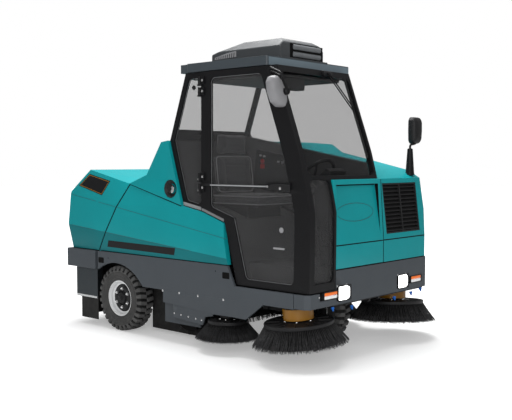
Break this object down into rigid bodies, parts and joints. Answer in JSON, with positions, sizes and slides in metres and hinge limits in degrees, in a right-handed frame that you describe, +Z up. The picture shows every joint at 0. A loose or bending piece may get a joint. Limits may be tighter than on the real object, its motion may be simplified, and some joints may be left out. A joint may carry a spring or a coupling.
{
  "type": "ride-on road sweeper",
  "caption": "Compact three-wheel ride-on road sweeper with a closed cab, an engine hood, a tipping rear hopper, a main brush and side brushes.",
  "frame": {"origin": "on the ground, in the middle of the overall length, on the middle plane of the body", "axes": "+X forwards, +Y to the machine's left, +Z up"},
  "size_m": [2.7945, 1.8613, 2.272],
  "materials": {
    "teal_paint": "gloss",
    "grey_paint": "satin",
    "black_paint": "satin",
    "roof_grey": "satin",
    "light_grey": "gloss",
    "white_rim": "gloss",
    "steel": "brushed",
    "cast": "matte",
    "window_glass": "clear",
    "lamp_glass": "clear",
    "red_lens": "gloss",
    "tyre_rubber": "matte",
    "flap_rubber": "matte",
    "bristles": "matte",
    "black_plastic": "matte",
    "seat_fabric": "matte",
    "ochre_paint": "satin"
  },
  "bodies": {
    "chassis": {"air_conditioner": "light_grey", "brush_housing": "grey_paint", "cab_frame": "black_paint", "cab_roof": "roof_grey", "cab_tub": "black_paint", "chassis_frame": "black_paint", "dashboard": "black_plastic", "engine_block": "cast", "engine_hood": "teal_paint", "filler_cap": "steel", "front_bumper": "grey_paint", "front_cowl": "teal_paint", "head_lamps": "lamp_glass", "mirror_left": "black_plastic", "radiator_grille": "black_plastic", "rear_axles": "steel", "rear_fairing": "teal_paint", "seat_base": "black_paint", "seat_cushions": "seat_fabric", "side_panels": "teal_paint", "side_skirts": "grey_paint", "side_windows": "window_glass", "windscreen": "window_glass", "wiper": "black_plastic"},
    "front_fork": {"front_fork": "black_paint"},
    "front_wheel": {"front_tyre": "tyre_rubber", "front_rim": "white_rim"},
    "rear_wheel_right": {"rear_tyre_right": "tyre_rubber", "rear_rim_right": "white_rim"},
    "rear_wheel_left": {"rear_tyre_left": "tyre_rubber", "rear_rim_left": "white_rim"},
    "hopper": {"hopper_cover": "teal_paint", "hopper_bin": "steel", "rear_bumper": "grey_paint", "tail_lamps": "red_lens", "hopper_plates": "steel", "hopper_flaps": "flap_rubber"},
    "door": {"door_frame": "black_paint", "door_glass": "window_glass", "mirror_right": "light_grey"},
    "engine_door": {"engine_door": "teal_paint"},
    "steering_wheel": {"steering_wheel": "black_plastic"},
    "main_brush": {"main_brush": "bristles"},
    "front_arm_right": {"front_arm_right": "ochre_paint"},
    "front_arm_left": {"front_arm_left": "ochre_paint"},
    "front_brush_right": {"front_brush_right": "bristles"},
    "front_brush_left": {"front_brush_left": "bristles"},
    "mid_brush_right": {"mid_brush_right": "bristles"},
    "mid_brush_left": {"mid_brush_left": "bristles"}
  },
  "joints": [
    {"name": "steering", "type": "hinge", "parent": "chassis", "child": "front_fork", "pos_m": [0.7485, 0, 0.3], "axis": [0, 0, 1], "range_deg": [-60, 60]},
    {"name": "front_wheel_spin", "type": "hinge", "parent": "front_fork", "child": "front_wheel", "pos_m": [0.7485, 0, 0.27], "axis": [0, 1, 0], "continuous": true},
    {"name": "rear_wheel_right_spin", "type": "hinge", "parent": "chassis", "child": "rear_wheel_right", "pos_m": [-0.7375, -0.664, 0.27], "axis": [0, 1, 0], "continuous": true},
    {"name": "rear_wheel_left_spin", "type": "hinge", "parent": "chassis", "child": "rear_wheel_left", "pos_m": [-0.7375, 0.664, 0.27], "axis": [0, 1, 0], "continuous": true},
    {"name": "hopper_tip", "type": "hinge", "parent": "chassis", "child": "hopper", "pos_m": [-0.59248, 0, 1.24009], "axis": [0, 1, 0], "range_deg": [0, 80]},
    {"name": "door_swing", "type": "hinge", "parent": "chassis", "child": "door", "pos_m": [0.23435, -0.7616, 1.2], "axis": [0, 0, 1], "range_deg": [-80, 0]},
    {"name": "engine_door_lift", "type": "hinge", "parent": "chassis", "child": "engine_door", "pos_m": [0.7, 0.75672, 1.15045], "axis": [0.9892, 0, -0.1463], "range_deg": [0, 75]},
    {"name": "steering_wheel_turn", "type": "hinge", "parent": "chassis", "child": "steering_wheel", "pos_m": [0.94929, -0.3, 1.26056], "axis": [-0.766, 0, 0.6428], "range_deg": [-480, 480]},
    {"name": "main_brush_spin", "type": "hinge", "parent": "chassis", "child": "main_brush", "pos_m": [-0.02, 0, 0.236], "axis": [0, 1, 0], "continuous": true},
    {"name": "front_arm_right_lower", "type": "hinge", "parent": "chassis", "child": "front_arm_right", "pos_m": [0.70074, -0.505, 0.352], "axis": [0, 1, 0], "range_deg": [0, 9]},
    {"name": "front_brush_right_spin", "type": "hinge", "parent": "front_arm_right", "child": "front_brush_right", "pos_m": [1.04247, -0.59762, 0.31434], "axis": [-0.0557, -0.0645, 0.9964], "continuous": true},
    {"name": "mid_brush_right_spin", "type": "hinge", "parent": "chassis", "child": "mid_brush_right", "pos_m": [0.41389, -0.648, 0.2], "axis": [0, 0, 1], "continuous": true},
    {"name": "front_arm_left_lower", "type": "hinge", "parent": "chassis", "child": "front_arm_left", "pos_m": [0.70074, 0.505, 0.352], "axis": [0, 1, 0], "range_deg": [0, 9]},
    {"name": "front_brush_left_spin", "type": "hinge", "parent": "front_arm_left", "child": "front_brush_left", "pos_m": [1.04247, 0.59762, 0.31434], "axis": [-0.0557, 0.0645, 0.9964], "continuous": true},
    {"name": "mid_brush_left_spin", "type": "hinge", "parent": "chassis", "child": "mid_brush_left", "pos_m": [0.41389, 0.648, 0.2], "axis": [0, 0, 1], "continuous": true}
  ],
  "couplings": [
    {"joint": "steering", "follows": "steering_wheel_turn", "ratio": 0.125}
  ]
}
